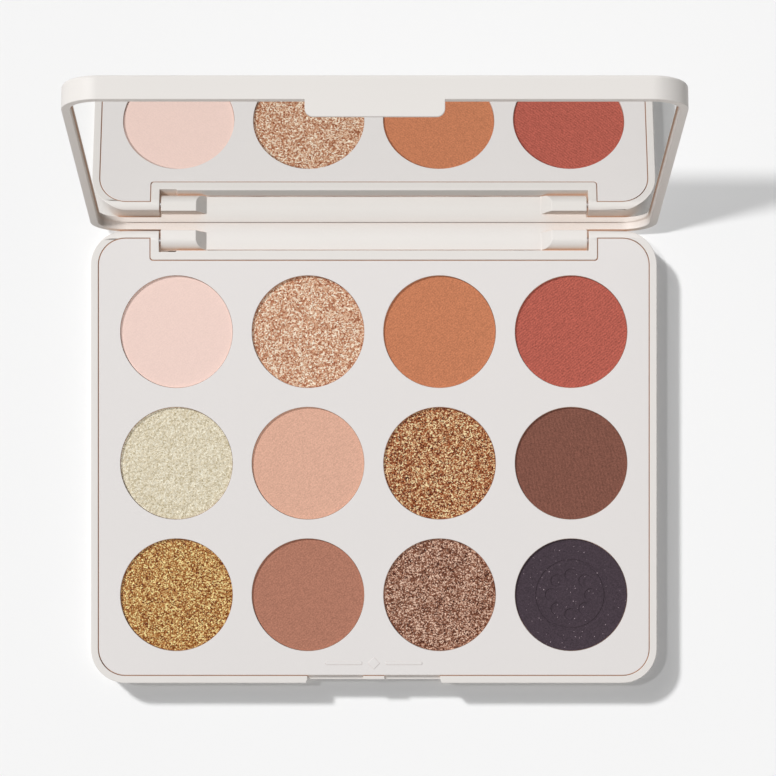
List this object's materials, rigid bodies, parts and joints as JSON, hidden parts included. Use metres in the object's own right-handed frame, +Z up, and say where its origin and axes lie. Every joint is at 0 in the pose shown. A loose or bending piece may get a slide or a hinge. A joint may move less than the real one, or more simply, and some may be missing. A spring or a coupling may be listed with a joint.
{
  "type": "eyeshadow palette",
  "caption": "Flat hinged makeup case with a mirrored lid, a snap tab and a tray of round pans filled with pressed powder.",
  "frame": {"origin": "centre of the flat underside of the base", "axes": "+X along the hinge, +Y from the latch towards the hinge, +Z up out of the tray"},
  "size_m": [0.1316, 0.1335, 0.1075],
  "materials": {
    "case_plastic": "satin off-white injection moulding",
    "tray_plastic": "fine matte off-white injection moulding",
    "hot_melt_glue": "cloudy amber",
    "label_paper": "uncoated white",
    "pin_steel": "ground wire",
    "mirror_glass": "silvered",
    "foam_tape": "matte black",
    "pan_metal": "bright rolled",
    "powder_pale_pink": "matte pressed powder",
    "powder_rose_gold_glitter": "coarse glitter",
    "powder_tan_orange": "matte pressed powder",
    "powder_brick_red": "matte pressed powder",
    "powder_ivory_shimmer": "fine shimmer",
    "powder_peach": "matte pressed powder",
    "powder_copper_glitter": "coarse glitter",
    "powder_dark_brown": "matte pressed powder",
    "powder_gold_glitter": "coarse glitter",
    "powder_rose_brown": "matte pressed powder",
    "powder_bronze_glitter": "fine glitter",
    "powder_charcoal": "matte pressed powder with sparse sparkle"
  },
  "bodies": {
    "base": {"base_shell": "case_plastic", "tray": "tray_plastic", "pan_glue_dots": "hot_melt_glue", "bottom_label": "label_paper", "hinge_pin_left": "pin_steel", "hinge_pin_right": "pin_steel", "pan_r1c1": "pan_metal", "pan_r1c2": "pan_metal", "pan_r1c3": "pan_metal", "pan_r1c4": "pan_metal", "pan_r2c1": "pan_metal", "pan_r2c2": "pan_metal", "pan_r2c3": "pan_metal", "pan_r2c4": "pan_metal", "pan_r3c1": "pan_metal", "pan_r3c2": "pan_metal", "pan_r3c3": "pan_metal", "pan_r3c4": "pan_metal", "powder_r1c1_pale_pink": "powder_pale_pink", "powder_r1c2_rose_gold_glitter": "powder_rose_gold_glitter", "powder_r1c3_tan_orange": "powder_tan_orange", "powder_r1c4_brick_red": "powder_brick_red", "powder_r2c1_ivory_shimmer": "powder_ivory_shimmer", "powder_r2c2_peach": "powder_peach", "powder_r2c3_copper_glitter": "powder_copper_glitter", "powder_r2c4_dark_brown": "powder_dark_brown", "powder_r3c1_gold_glitter": "powder_gold_glitter", "powder_r3c2_rose_brown": "powder_rose_brown", "powder_r3c3_bronze_glitter": "powder_bronze_glitter", "powder_r3c4_charcoal": "powder_charcoal"},
    "lid": {"lid_shell": "case_plastic", "mirror": "mirror_glass", "mirror_tape": "foam_tape"}
  },
  "joints": [
    {"name": "lid_hinge", "type": "hinge", "parent": "base", "child": "lid", "pos_m": [0, 0.05035, 0.00685], "axis": [1, 0, 0], "range_deg": [0, 102.7]}
  ]
}
